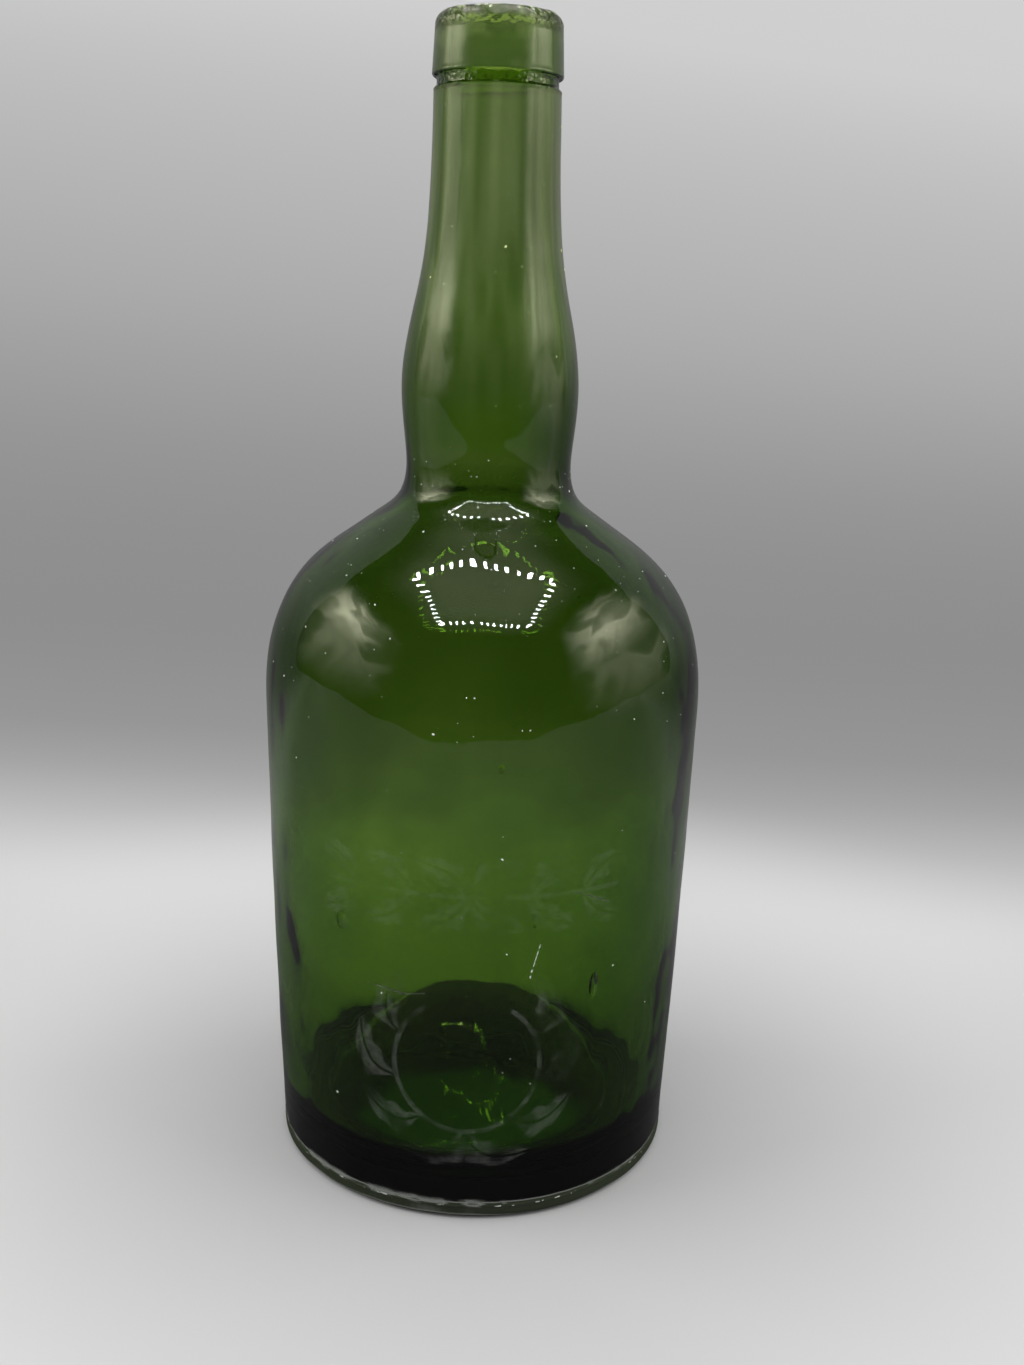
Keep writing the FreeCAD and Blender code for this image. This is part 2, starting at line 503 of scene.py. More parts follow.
def unevenGlass(piece):
    g = glassWaves
    joinGroups(piece, "outer", ("heel", "ridge", "side", "band", "collar"))
    joinGroups(piece, "under", ("hollow",))
    bpy.ops.object.empty_add(location=g["streakPlace"])
    stretch = bpy.context.object
    stretch.scale = (1, 1, g["streakStretch"])
    bpy.context.view_layer.update()
    pushOut(piece, "innerWave", "inside", cloudTexture("innerWave", g["insideGrain"], 1), g["insideWave"])
    pushOut(piece, "innerStreak", "inside", cloudTexture("innerStreak", g["streakGrain"], 1), g["streak"],
            stretchedBy=stretch)
    pushOut(piece, "outerWave", "outer", cloudTexture("outerWave", g["outsideGrain"], 1), g["outsideWave"],
            middle=0.9)
    pushOut(piece, "outerRipple", "outer", cloudTexture("outerRipple", g["rippleGrain"], 1),
            g["outsideRipple"], middle=0.8)
    pushOut(piece, "hollowWave", "under", cloudTexture("hollowWave", g["hollowGrain"], 1), g["hollowWave"])
    pushOut(piece, "ridgeWear", "ridge", cloudTexture("ridgeWear", g["ridgeGrain"], 2, 2.0), g["ridgeWear"],
            middle=0.85)
    pushOut(piece, "lipWear", "lip", cloudTexture("lipWear", g["lipGrain"], 2), g["lipWear"], middle=0.9)
    pushOut(piece, "bandWear", "band", cloudTexture("bandWear", g["bandGrain"], 2, 1.6), g["bandWear"],
            direction="Z")
    bpy.data.objects.remove(stretch)
    # the blown hollow stands a little off the axis, so one wall is thicker; the bore stays in place
    shiftInside(piece, "cavity", cavityWeight, -g["thinSide"])
    shiftInside(piece, "mound", moundWeight, -g["moundShift"])
    print("glass made uneven")


glassLook = {
    "depthColour": (0.47, 0.62, 0.05),
    "depthDensity": 620.0,     # how fast the glass swallows light, per metre
    "frontRadius": 0.0475,     # the faint old ornament is laid round the body at this radius
    "outsideFrom": 0.0455,     # nothing of the inner wall is as far from the axis below the shoulder
    "outsideSoft": 0.0002,
    "sole": 0.85,              # dirt on the standing ring and low in the hollow
    "soleEnds": (0.0095, 0.0045),
    "grime": 0.85,             # dirt on the heel, up to its ridge
    "grimeEnds": (0.0043, 0.0037),
    "ringRub": 0.15,           # rubbed places under the ring
    "ringEnds": (0.0003, 0.0001),
    "ridgeEnds": (0.00022, 0.00008),  # half of the strip along the ridge that is chipped
    "neckFilm": 0.18,
    "neckFilmStarts": (0.155, 0.225),
    "neckFilmEnds": (0.2352, 0.2346),
    "collarFilm": 0.10,
    "collarStarts": (0.2374, 0.2382),
    # pale specks on the top of the lip: partly chips, partly a painted glint
    "lipChipsAndGlint": 0.30,
    "lipStarts": (0.2482, 0.2490),
    "filmColour": (0.74, 0.86, 0.40),
    "filmColourStarts": (0.160, 0.164),
    "chipColour": (0.93, 0.97, 0.90),
    "dirtColour": (0.03, 0.04, 0.02),
    "dirtFull": 1.3,           # strengthens the colour of dirt, up to full
    "bend": 1.5,               # how strongly the glass bends light
    "reliefStep": 0.00012,     # height of a relief of 1
    "rippleRelief": 0.7,
    "drawnRelief": 0.16,
    "seamRelief": 0.5,
    "seamTurn": 88,            # degrees from the front to either mould seam
    "seamHalf": (0.013, 0.004),  # half its width, as an angle
    "seamEnds": (0.228, 0.220),
    "lipRelief": 4.0,
    "lipReliefStarts": (0.2455, 0.2475),
    "bandRelief": 2.4,
    "bandMiddle": 0.2362,
    "bandHalf": (0.0020, 0.0012),
}

# noises in the glass: scale, detail, roughness
glassNoise = {
    "middling": (130.0, 2.0, 0.65),
    "fine": (800.0, 1.0, 0.7),
    "streaks": (1.0, 1.0, 0.6),
    "ripples": (150.0, 0.0),
    "drawn": (1.0, 0.0),
    "streakScale": (240, 240, 9),  # both of these are drawn out upright
    "drawnScale": (330, 330, 14),
}

# where in its noise each wear begins and is full, and how strong it is there
glassWear = {
    "ghostPatches": (0.38, 0.62, 0.1, 1.0),
    "ghostGrain": (0.25, 0.60, 0.4, 1.0),
    "scratchGrain": (0.40, 0.56),
    "neckStreaks": (0.25, 0.80, 0.3, 1.0),
    "collarPatches": (0.46, 0.62, 0.5, 1.0),
    "lipGrain": (0.52, 0.60),
    "ridgeGrain": (0.56, 0.62),
    "ridgePatches": (0.46, 0.58),
    "ringGrain": (0.6, 0.7),
}

# how much each mark hides of the glass, and how dull it is; the ghost is the old ornament
markHides = {"chips": 0.8, "pale": 0.7, "dark": 0.7, "ghost": 0.048}
markDulls = {"ghost": 0.12, "chips": 0.6, "pale": 0.5, "dusty": 0.5, "film": 0.8, "grime": 0.8}

# faint old ornament on the front: a laurel wreath, and a row of leaves above it
oldOrnament = {
    "middle": 0.0375,       # height of the wreath's middle
    "shift": 0.0015,        # all of it stands this much to the left
    "ring": 0.0158,         # radius of its branches
    "ringLeaves": (-0.0009, -0.0006),  # leaves start here, so that the middle stays empty
    "branch": (0.05, 0.03),  # half width of a branch, as a share of a leaf's length
    "leafStep": 0.0104,
    "leafLength": 0.0138,
    "leafLean": 50.0,
    "open": 2.55,           # half angle at which the branches end, from the bottom
    "openSoft": 0.05,
    "rowHeight": 0.0760,
    "rowStep": 0.0118,
    "rowFaint": 0.45,       # the row is this much fainter than the wreath
    "rowHalf": 0.0330,
    "rowSoft": 0.0005,
    "rowLean": 38.0,
}

# one leaf, with its length as 1
leafForm = {
    "halfWidth": 0.20,
    "bend": 0.10,
    "bendTurns": 4.0,
    "lobe": 0.035,          # how far the edge waves
    "lobeTurns": 19.0,
    "soft": 0.02,
    "rib": (0.012, 0.03),
    "tip": 0.03,
}

# marks of use: start and end of each, across and up, width, how pale
oldScratches = (
    (0.0133, 0.0655, 0.0119, 0.0602, 0.00015, 1.0),
    (0.0117, 0.0596, 0.0112, 0.0572, 0.00022, 1.0),
    (-0.0240, 0.0538, -0.0150, 0.0530, 0.00015, 0.0),
    (-0.0160, 0.0527, -0.0085, 0.0541, 0.00013, 0.0),
    (0.0205, 0.0760, 0.0290, 0.0722, 0.00012, 0.0),
)

# blisters and dents in the outer skin: across, up, half width, half height, height in steps of relief
oldDents = (
    (0.0262, 0.0535, 0.00110, 0.0030, 5.0),
    (0.0118, 0.0705, 0.00055, 0.0016, 2.4),
    (-0.0300, 0.0665, 0.00150, 0.0022, -3.0),
    (0.0040, 0.1035, 0.00060, 0.0010, 2.0),
)


def ramped(tree, value, fromLow, fromHigh, toLow=0.0, toHigh=1.0):
    node = tree.nodes.new("ShaderNodeMapRange")
    node.interpolation_type = "SMOOTHSTEP"
    limits = {"From Min": fromLow, "From Max": fromHigh, "To Min": toLow, "To Max": toHigh}
    for name, number in limits.items():
        node.inputs[name].default_value = number
    link(tree, value, node.inputs["Value"])
    return node.outputs[0]


def gapFrom(tree, value, centre):
    return mathNode(tree, "ABSOLUTE", mathNode(tree, "SUBTRACT", value, centre))


def mirroredRays(tree):
    # light that is mirrored in the gloss, and not what shines through
    rays = tree.nodes.new("ShaderNodeLightPath")
    return rays, mathNode(tree, "SUBTRACT", rays.outputs["Is Glossy Ray"],
                          rays.outputs["Is Transmission Ray"], clamp=True)


def stretched(tree, vector, scale, place=(0, 0, 0)):
    node = tree.nodes.new("ShaderNodeMapping")
    node.inputs["Scale"].default_value = scale
    node.inputs["Location"].default_value = place
    link(tree, vector, node.inputs["Vector"])
    return node.outputs[0]


def noiseNode(tree, vector, scale, detail=2.0, roughness=0.5):
    node = tree.nodes.new("ShaderNodeTexNoise")
    node.inputs["Scale"].default_value = scale
    node.inputs["Detail"].default_value = detail
    node.inputs["Roughness"].default_value = roughness
    link(tree, vector, node.inputs["Vector"])
    return node.outputs["Fac"]


def product(tree, *values):
    total = values[0]
    for value in values[1:]:
        total = mathNode(tree, "MULTIPLY", total, value)
    return total


def most(tree, *values):
    top = values[0]
    for value in values[1:]:
        top = mathNode(tree, "MAXIMUM", top, value)
    return top


def shapeGroup(name):
    group = bpy.data.node_groups.new(name, "ShaderNodeTree")
    group.interface.new_socket("Vector", in_out="INPUT", socket_type="NodeSocketVector")
    group.interface.new_socket("Mask", in_out="OUTPUT", socket_type="NodeSocketFloat")
    start = group.nodes.new("NodeGroupInput")
    end = group.nodes.new("NodeGroupOutput")
    parts = group.nodes.new("ShaderNodeSeparateXYZ")
    link(group, start.outputs[0], parts.inputs[0])
    return group, parts.outputs["X"], parts.outputs["Y"], end.inputs[0]


def laurelRow(tree, along, aside, step, length, lean, leaf):
    # leaves one after another, that lean to either side of a thin branch
    turn = math.radians(lean)
    place = product(tree, mathNode(tree, "FRACT", mathNode(tree, "DIVIDE", along, step)), step / length)
    apart = mathNode(tree, "MULTIPLY", mathNode(tree, "ABSOLUTE", aside), 1.0 / length)
    local = tree.nodes.new("ShaderNodeCombineXYZ")
    lengthwise = mathNode(tree, "MULTIPLY_ADD", apart, math.sin(turn), product(tree, place, math.cos(turn)))
    crosswise = mathNode(tree, "MULTIPLY_ADD", apart, math.cos(turn), product(tree, place, -math.sin(turn)))
    link(tree, lengthwise, local.inputs[0])
    link(tree, crosswise, local.inputs[1])
    shape = tree.nodes.new("ShaderNodeGroup")
    shape.node_tree = leaf
    link(tree, local.outputs[0], shape.inputs[0])
    return most(tree, shape.outputs[0], ramped(tree, apart, *oldOrnament["branch"]))


def ornamentMask(tree, across, height):
    o = oldOrnament
    leaf = leafGroup()
    side = mathNode(tree, "ABSOLUTE", mathNode(tree, "ADD", across, o["shift"]))
    up = mathNode(tree, "SUBTRACT", height, o["middle"])
    off = mathNode(tree, "SQRT", mathNode(tree, "MULTIPLY_ADD", side, side, product(tree, up, up)))
    sweep = mathNode(tree, "ARCTAN2", side, product(tree, up, -1.0))  # angle from the bottom of the wreath
    wreath = laurelRow(tree, product(tree, sweep, o["ring"]), mathNode(tree, "SUBTRACT", off, o["ring"]),
                       o["leafStep"], o["leafLength"], o["leafLean"], leaf)
    leavesFrom, leavesFull = o["ringLeaves"]
    wreath = product(tree, wreath, ramped(tree, sweep, o["open"], o["open"] - o["openSoft"]),
                     ramped(tree, off, o["ring"] + leavesFrom, o["ring"] + leavesFull))
    row = laurelRow(tree, side, mathNode(tree, "SUBTRACT", height, o["rowHeight"]),
                    o["rowStep"], o["leafLength"], o["rowLean"], leaf)
    row = product(tree, row, ramped(tree, side, o["rowHalf"], o["rowHalf"] - o["rowSoft"]), o["rowFaint"])
    return most(tree, wreath, row)


def leafGroup():
    # bent leaf from its stalk at the origin to its tip at 1, with a bare midrib
    f = leafForm
    group, x, y, end = shapeGroup("leaf")
    along = product(group, x, math.pi)
    bend = product(group, mathNode(group, "SINE", product(group, x, f["bendTurns"])), f["bend"])
    aside = gapFrom(group, y, bend)
    lobes = mathNode(group, "SINE", product(group, x, f["lobeTurns"]))
    lobes = mathNode(group, "MULTIPLY_ADD", lobes, f["lobe"], f["halfWidth"])
    edge = product(group, mathNode(group, "SINE", along), lobes)
    body = ramped(group, mathNode(group, "SUBTRACT", aside, edge), f["soft"], -f["soft"])
    rib = ramped(group, aside, *f["rib"])
    span = product(group, ramped(group, x, 0.0, f["tip"]), ramped(group, x, 1.0, 1.0 - f["tip"]))
    link(group, product(group, body, rib, span), end)
    return group


def scratchMask(tree, across, up, mark):
    # distance to a short straight line
    x0, y0, x1, y1, width = mark[:5]
    dx, dy = x1 - x0, y1 - y0
    long = dx * dx + dy * dy
    px = mathNode(tree, "SUBTRACT", across, x0)
    py = mathNode(tree, "SUBTRACT", up, y0)
    share = mathNode(tree, "MULTIPLY_ADD", px, dx / long, product(tree, py, dy / long), clamp=True)
    ox = mathNode(tree, "MULTIPLY_ADD", share, -dx, px)
    oy = mathNode(tree, "MULTIPLY_ADD", share, -dy, py)
    off = mathNode(tree, "SQRT", mathNode(tree, "MULTIPLY_ADD", ox, ox, mathNode(tree, "MULTIPLY", oy, oy)))
    return ramped(tree, off, width, width * 0.4)


def dentHeight(tree, across, up, dent):
    # round-topped blister, or a dent if its height is below nothing
    x0, y0, wide, tall, rise = dent
    px = mathNode(tree, "MULTIPLY_ADD", across, 1.0 / wide, -x0 / wide)
    py = mathNode(tree, "MULTIPLY_ADD", up, 1.0 / tall, -y0 / tall)
    square = mathNode(tree, "MULTIPLY_ADD", px, px, mathNode(tree, "MULTIPLY", py, py))
    return mathNode(tree, "MULTIPLY", mathNode(tree, "SUBTRACT", 1.0, square, clamp=True), rise)


def greenGlass():
    look, noise, wear = glassLook, glassNoise, glassWear
    material, tree, output = newMaterial("greenGlass")
    where = tree.nodes.new("ShaderNodeTexCoord").outputs["Object"]
    parts = tree.nodes.new("ShaderNodeSeparateXYZ")
    link(tree, where, parts.inputs[0])
    x, y, height = parts.outputs
    reach = mathNode(tree, "SQRT", mathNode(tree, "MULTIPLY_ADD", x, x, mathNode(tree, "MULTIPLY", y, y)))
    angle = mathNode(tree, "ARCTAN2", x, mathNode(tree, "MULTIPLY", y, -1.0))
    across = mathNode(tree, "MULTIPLY", angle, look["frontRadius"])
    outside = ramped(tree, reach, look["outsideFrom"] - look["outsideSoft"],
                     look["outsideFrom"] + look["outsideSoft"])
    middling = noiseNode(tree, where, *noise["middling"])
    fine = noiseNode(tree, where, *noise["fine"])

    # old ornament on the unrolled front, worn away in patches
    worn = product(tree, ramped(tree, middling, *wear["ghostPatches"]),
                   ramped(tree, fine, *wear["ghostGrain"]))
    ghost = product(tree, ornamentMask(tree, across, height), worn, outside)

    # scratches
    paleMarks, darkMarks = [], []
    for mark in oldScratches:
        line = scratchMask(tree, across, height, mark)
        if mark[5] > 0:
            paleMarks.append(mathNode(tree, "MULTIPLY", line, mark[5]))
        if mark[5] < 1:
            darkMarks.append(mathNode(tree, "MULTIPLY", line, 1.0 - mark[5]))
    broken = product(tree, ramped(tree, fine, *wear["scratchGrain"]), outside)
    pale = product(tree, most(tree, *paleMarks), broken)
    dark = product(tree, most(tree, *darkMarks), broken)

    # thin dry film: upright streaks in the neck, patches on the collar
    streaks = noiseNode(tree, stretched(tree, where, noise["streakScale"]), *noise["streaks"])
    neckFilm = product(tree, ramped(tree, streaks, *wear["neckStreaks"]),
                       ramped(tree, height, *look["neckFilmStarts"]),
                       ramped(tree, height, *look["neckFilmEnds"]), look["neckFilm"])
    collarFilm = product(tree, ramped(tree, middling, *wear["collarPatches"]),
                         ramped(tree, height, *look["collarStarts"]), look["collarFilm"])
    # pale specks on the top of the lip: partly chips, partly a painted glint
    lipChipsAndGlint = product(tree, ramped(tree, height, *look["lipStarts"]),
                       ramped(tree, fine, *wear["lipGrain"]), look["lipChipsAndGlint"])
    film = mathNode(tree, "ADD", neckFilm, mathNode(tree, "ADD", collarFilm, lipChipsAndGlint))

    # bare white chips along the ridge above the standing ring, and rubbed places under the ring
    fromRidge = gapFrom(tree, height, glassSizes["seamHeight"])
    onRidge = product(tree, ramped(tree, fromRidge, *look["ridgeEnds"]), outside)
    chips = product(tree, onRidge, ramped(tree, fine, *wear["ridgeGrain"]),
                    ramped(tree, middling, *wear["ridgePatches"]))
    grime = product(tree, ramped(tree, height, *look["grimeEnds"]), outside, look["grime"])
    grime = mathNode(tree, "SUBTRACT", grime, chips, clamp=True)
    ring = product(tree, ramped(tree, height, *look["ringEnds"]), ramped(tree, fine, *wear["ringGrain"]),
                   look["ringRub"])

    inner = mathNode(tree, "SUBTRACT", 1.0, outside)
    sole = product(tree, ramped(tree, height, *look["soleEnds"]), inner, look["sole"])

    grains = tree.nodes.new("ShaderNodeAttribute")
    grains.attribute_name = "dusty"
    dusty = mathNode(tree, "GREATER_THAN", grains.outputs["Fac"], 0.5)

    marks = {"chips": chips, "pale": pale, "dark": dark, "ghost": ghost,
             "dusty": dusty, "film": film, "grime": grime}
    hidden = [product(tree, marks[name], share) for name, share in markHides.items()]
    opaque = most(tree, dusty, *hidden, ring, sole, grime, film)
    clear = mathNode(tree, "SUBTRACT", 1.0, opaque, clamp=True)

    shader = tree.nodes.new("ShaderNodeBsdfPrincipled")
    tone = tree.nodes.new("ShaderNodeMix")
    tone.data_type = "RGBA"
    tone.inputs[6].default_value = (*look["chipColour"], 1)
    tone.inputs[7].default_value = (*look["dirtColour"], 1)
    dirt = mathNode(tree, "MULTIPLY", most(tree, dark, sole, grime), look["dirtFull"], clamp=True)
    link(tree, dirt, tone.inputs[0])
    filmTone = tree.nodes.new("ShaderNodeMix")
    filmTone.data_type = "RGBA"
    filmTone.inputs[7].default_value = (*look["filmColour"], 1)
    link(tree, ramped(tree, height, *look["filmColourStarts"]), filmTone.inputs[0])
    link(tree, tone.outputs[2], filmTone.inputs[6])
    link(tree, filmTone.outputs[2], shader.inputs["Base Color"])
    rough = most(tree, *[product(tree, marks[name], share) for name, share in markDulls.items()])
    link(tree, rough, shader.inputs["Roughness"])
    shader.inputs["IOR"].default_value = look["bend"]
    link(tree, clear, shader.inputs["Transmission Weight"])

    # relief too small for the mesh: ripples, upright draw lines, the two mould seams, blisters
    ripples = noiseNode(tree, where, *noise["ripples"])
    drawn = noiseNode(tree, stretched(tree, where, noise["drawnScale"]), *noise["drawn"])
    seam = gapFrom(tree, mathNode(tree, "ABSOLUTE", angle), math.radians(look["seamTurn"]))
    seam = ramped(tree, seam, *look["seamHalf"])
    seam = product(tree, seam, ramped(tree, height, *look["seamEnds"]), look["seamRelief"])
    relief = mathNode(tree, "MULTIPLY_ADD", drawn, look["drawnRelief"], seam)
    relief = mathNode(tree, "MULTIPLY_ADD", ripples, look["rippleRelief"], relief)
    onBand = ramped(tree, gapFrom(tree, height, look["bandMiddle"]), *look["bandHalf"])
    onBand = product(tree, onBand, look["bandRelief"])
    onLip = ramped(tree, height, *look["lipReliefStarts"])
    rim = mathNode(tree, "MULTIPLY_ADD", onLip, look["lipRelief"], onBand)
    relief = mathNode(tree, "ADD", relief, product(tree, rim, fine))
    blisters = dentHeight(tree, across, height, oldDents[0])
    for dent in oldDents[1:]:
        blisters = mathNode(tree, "ADD", blisters, dentHeight(tree, across, height, dent))
    relief = mathNode(tree, "MULTIPLY_ADD", blisters, outside, relief)
    bump = tree.nodes.new("ShaderNodeBump")
    bump.inputs["Strength"].default_value = 1.0
    bump.inputs["Distance"].default_value = look["reliefStep"]
    link(tree, relief, bump.inputs["Height"])
    link(tree, bump.outputs[0], shader.inputs["Normal"])
    link(tree, shader.outputs["BSDF"], output.inputs["Surface"])

    depth = tree.nodes.new("ShaderNodeVolumeAbsorption")
    depth.inputs["Color"].default_value = (*look["depthColour"], 1)
    depth.inputs["Density"].default_value = look["depthDensity"]
    link(tree, depth.outputs["Volume"], output.inputs["Volume"])
    print("glass coloured")
    return material


stageSizes = {
    "sweepStart": 0.60,
    "sweepRound": 0.22,
    "wallTop": 1.4,
    "halfWidth": 1.8,
    "front": -1.8,
    "drop": 0.0001,     # the floor lies this much under the ring
    "floorColour": 0.62,
    "curveSteps": 16,   # of the bend from floor to wall
    "shade": 0.12,      # of the floor colour that is left close under the glass
    "shadeReach": (0.0385, 0.0475),
    "paler": (0.95, 1.16),  # painted shade round the bottle: the floor grows lighter away from it
    "palerReach": (0.06, 0.20),
    "glowReach": (0.10, 0.26),  # lit cloth turns into an even glow over this distance
    # in the gloss of the glass all of it is darker: painted shade, most of all close to the bottle
    "frontLoss": 0.64,
    "sideLoss": 0.5,
    "lossAlong": (-0.14, 0.03),  # front to side
    "nearLoss": 0.64,
    "nearReach": (0.08, 0.30),
    "tableEdge": -0.44,  # the cloth ends here in the gloss, and the dark room begins
    "edgeSoft": 0.008,
    "edgeWander": 0.06,
    "edgeGrain": 7.0,
    "beyond": 0.10,
    "underGlow": (0.070, 0.15, 0.035),  # painted pool of light on the floor under the glass, in place of light that comes down through it
    "underReach": (0.031, 0.022),
    "greyLean": 0.10,   # the painted light and shade of the greys lean across by this much
    "greys": (          # place along floor and wall, and how light it is there: painted light and shade, dark low on the wall and lighter towards its top and on the floor
        (-0.22, 0.88), (-0.10, 0.80), (0.00, 0.53), (0.06, 0.53), (0.115, 0.70), (0.155, 0.615),
        (0.197, 0.49), (0.25, 0.36), (0.316, 0.30), (0.50, 0.265), (0.711, 0.275), (0.84, 0.302),
        (0.944, 0.365), (1.026, 0.43), (1.091, 0.475), (1.155, 0.53),
        (1.216, 0.615), (1.5, 0.70)),
}


def paleSweep():
    # floor that curves up into a wall behind the bottle
    s = stageSizes
    clearSelection()
    bpy.ops.mesh.primitive_plane_add(size=1, location=(0, 0, 0))
    piece = bpy.context.object
    bpy.ops.object.mode_set(mode="EDIT")
    bpy.ops.transform.resize(value=(2 * s["halfWidth"], s["sweepStart"] - s["front"], 1))
    bpy.ops.transform.translate(value=(0, (s["sweepStart"] + s["front"]) / 2, -s["drop"]))
    bpy.ops.mesh.select_all(action="DESELECT")
    bpy.ops.object.mode_set(mode="OBJECT")
    for edge in piece.data.edges:
        ends = [piece.data.vertices[v].co.y for v in edge.vertices]
        edge.select = min(ends) > s["sweepStart"] - 0.001
    bpy.ops.object.mode_set(mode="EDIT")
    bpy.ops.mesh.select_mode(type="EDGE")
    here = Vector((s["sweepStart"], 0))
    for i in range(s["curveSteps"]):
        turn = math.radians(90 * (i + 1) / s["curveSteps"])
        there = Vector((s["sweepStart"] + s["sweepRound"] * math.sin(turn),
                        s["sweepRound"] * (1 - math.cos(turn))))
        move = there - here
        bpy.ops.mesh.extrude_region_move(TRANSFORM_OT_translate={"value": (0, move.x, move.y)})
        here = there
    bpy.ops.mesh.extrude_region_move(TRANSFORM_OT_translate={"value": (0, 0, s["wallTop"] - s["sweepRound"])})
    bpy.ops.object.mode_set(mode="OBJECT")
    bpy.ops.object.shade_smooth()
    settle(piece, "sweep")
    material, tree, output = newMaterial("paleSweep")
    where = tree.nodes.new("ShaderNodeTexCoord")
    parts = tree.nodes.new("ShaderNodeSeparateXYZ")
    link(tree, where.outputs["Object"], parts.inputs[0])
    along = mathNode(tree, "ADD", parts.outputs["Y"], parts.outputs["Z"])
    along = mathNode(tree, "MULTIPLY_ADD", parts.outputs["X"], s["greyLean"], along)
    # painted light and shade along the floor and up the wall
    grey = greyRamp(tree, along, s["greys"])
    length = tree.nodes.new("ShaderNodeVectorMath")
    length.operation = "LENGTH"
    link(tree, where.outputs["Object"], length.inputs[0])
    reach = length.outputs["Value"]
    far = ramped(tree, reach, *s["glowReach"])
    rays, mirrored = mirroredRays(tree)
    shown = mathNode(tree, "ADD", rays.outputs["Is Camera Ray"], rays.outputs["Is Glossy Ray"])
    shown = mathNode(tree, "ADD", shown, rays.outputs["Is Transmission Ray"], clamp=True)
    loss = ramped(tree, parts.outputs["Y"], *s["lossAlong"], -s["frontLoss"], -s["sideLoss"])
    # painted shade close to the bottle, seen only in the gloss of the glass
    near = ramped(tree, reach, *s["nearReach"], 1.0 - s["nearLoss"], 1.0)
    edge = noiseNode(tree, where.outputs["Object"], s["edgeGrain"], 1.0)
    edge = mathNode(tree, "MULTIPLY_ADD", edge, s["edgeWander"], parts.outputs["Y"])
    near = product(tree, near, ramped(tree, edge, s["tableEdge"] - s["edgeSoft"],
                                      s["tableEdge"] + s["edgeSoft"], s["beyond"], 1.0))
    near = product(tree, mirrored, mathNode(tree, "SUBTRACT", near, 1.0))
    near = mathNode(tree, "ADD", near, 1.0)
    dim = product(tree, near, mathNode(tree, "MULTIPLY_ADD", mirrored, loss, 1.0))
    cloth = tree.nodes.new("ShaderNodeBsdfDiffuse")
    shade = ramped(tree, reach, *s["shadeReach"], s["shade"], 1.0)
    # painted shade: the floor is darker round the bottle and grows lighter away from it
    paler = ramped(tree, reach, *s["palerReach"], *s["paler"])
    link(tree, product(tree, dim, shade, paler, s["floorColour"]), cloth.inputs["Color"])
    glow = tree.nodes.new("ShaderNodeEmission")
    link(tree, grey, glow.inputs["Color"])
    link(tree, dim, glow.inputs["Strength"])
    mix = tree.nodes.new("ShaderNodeMixShader")
    link(tree, product(tree, shown, far), mix.inputs[0])
    link(tree, cloth.outputs[0], mix.inputs[1])
    link(tree, glow.outputs[0], mix.inputs[2])
    # painted pool of green light on the floor under the bottle
    under = ramped(tree, reach, *s["underReach"])
    spill = tree.nodes.new("ShaderNodeEmission")
    spill.inputs["Color"].default_value = (*s["underGlow"], 1)
    link(tree, under, spill.inputs["Strength"])
    both = tree.nodes.new("ShaderNodeAddShader")
    link(tree, mix.outputs[0], both.inputs[0])
    link(tree, spill.outputs[0], both.inputs[1])
    link(tree, both.outputs[0], output.inputs["Surface"])
    material.cycles.emission_sampling = "NONE"
    piece.data.materials.append(material)
    return piece


def onlyReflected(piece, through=False):
    # seen in the gloss of the glass, and neither by the camera nor as a source of light
    piece.visible_camera = False
    piece.visible_diffuse = False
    piece.visible_transmission = through
    piece.visible_shadow = False
    piece.visible_volume_scatter = False


# folds in the cloth of the side cards: light creases, and a slow change of light
clothFolds = {
    "scale": 1.3,
    "twist": 0.7,
    "crease": (0.52, 0.07, 0.45),  # where it lies in the noise, its half width, its light
    "hang": (0.36, 0.70),
    "hangLight": (0.35, 1.2),
}


def glowMaterial(name, strength, softness=None, folds=False, tint=(1.0, 0.99, 0.72)):
    # softness is how far from the middle the panel fades, across and up, as shares of its half size
    material, tree, output = newMaterial(name)
    material.cycles.emission_sampling = "NONE"
    glow = tree.nodes.new("ShaderNodeEmission")
    glow.inputs["Strength"].default_value = strength
    if softness is None:
        link(tree, glow.outputs[0], output.inputs["Surface"])
        return material
    through = tree.nodes.new("ShaderNodeBsdfTransparent")
    both = tree.nodes.new("ShaderNodeAddShader")
    link(tree, glow.outputs[0], both.inputs[0])
    link(tree, through.outputs[0], both.inputs[1])
    link(tree, both.outputs[0], output.inputs["Surface"])
    where = tree.nodes.new("ShaderNodeTexCoord").outputs["UV"]
    centred = stretched(tree, where, (2, 2, 2), (-1, -1, 0))
    parts = tree.nodes.new("ShaderNodeSeparateXYZ")
    link(tree, centred, parts.inputs[0])
    light = strength
    for axis in ("X", "Y"):
        fade = ramped(tree, mathNode(tree, "ABSOLUTE", parts.outputs[axis]), 1.0, softness)
        light = mathNode(tree, "MULTIPLY", fade, light)
    if folds:
        cloth = tree.nodes.new("ShaderNodeTexNoise")
        cloth.inputs["Scale"].default_value = clothFolds["scale"]
        cloth.inputs["Detail"].default_value = 1.0
        cloth.inputs["Distortion"].default_value = clothFolds["twist"]
        link(tree, centred, cloth.inputs["Vector"])
        middle, half, creaseLight = clothFolds["crease"]
        crease = ramped(tree, gapFrom(tree, cloth.outputs["Fac"], middle), half, 0.0, 0.0, creaseLight)
        hang = ramped(tree, cloth.outputs["Fac"], *clothFolds["hang"], *clothFolds["hangLight"])
        light = product(tree, light, mathNode(tree, "ADD", crease, hang))
    glow.inputs["Color"].default_value = (*tint, 1)
    link(tree, light, glow.inputs["Strength"])
    return material


